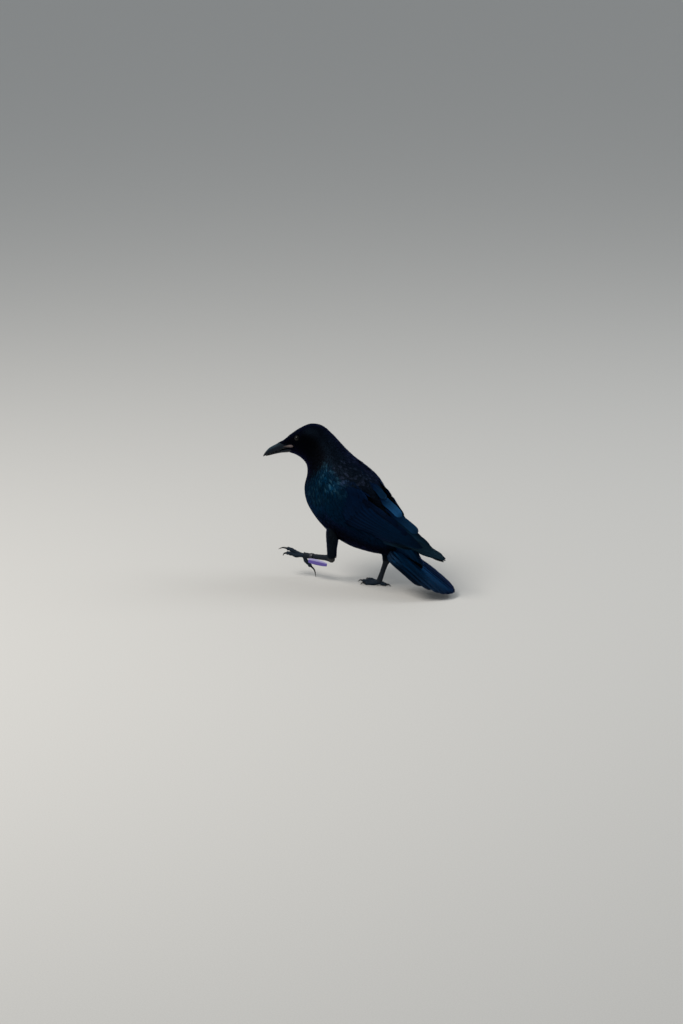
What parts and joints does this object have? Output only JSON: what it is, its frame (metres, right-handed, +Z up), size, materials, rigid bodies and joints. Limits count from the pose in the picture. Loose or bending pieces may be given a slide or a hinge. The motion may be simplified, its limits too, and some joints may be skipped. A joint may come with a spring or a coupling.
{
  "type": "crow",
  "caption": "Life-size crow in mid-stride: one foot planted, the other lifted forward, closed wings, lowered tail, stout bill and a small leg tag.",
  "frame": {"origin": "on the floor, below the middle of the model's box", "axes": "-X is the way the bird faces, -Y is its left side, +Z is up"},
  "size_m": [0.3494, 0.1094, 0.2702],
  "materials": {
    "plumage": "soft black contour feathers with a blue gloss",
    "flight_feather": "glossy blue-black vanes",
    "bill": "satin dark slate horn",
    "leg_scale": "matt dark grey scutes",
    "claw": "polished black horn",
    "eye": "wet dark brown",
    "tag": "satin violet plastic",
    "ring": "dark plastic"
  },
  "bodies": {
    "root": {"trunk": "plumage", "neck": "plumage", "head": "plumage", "thigh_left": "plumage", "thigh_right": "plumage", "wing_left": "flight_feather", "wing_right": "flight_feather", "tail": "flight_feather", "shank_left": "leg_scale", "shank_right": "leg_scale", "foot_left": "leg_scale", "foot_right": "leg_scale", "claw_left_inner": "claw", "claw_left_middle": "claw", "claw_left_outer": "claw", "claw_left_hind": "claw", "claw_right_inner": "claw", "claw_right_middle": "claw", "claw_right_outer": "claw", "claw_right_hind": "claw", "bill_upper": "bill", "bill_lower": "bill", "eye_left": "eye", "eye_right": "eye", "leg_tag": "tag", "leg_ring": "ring"}
  },
  "joints": []
}
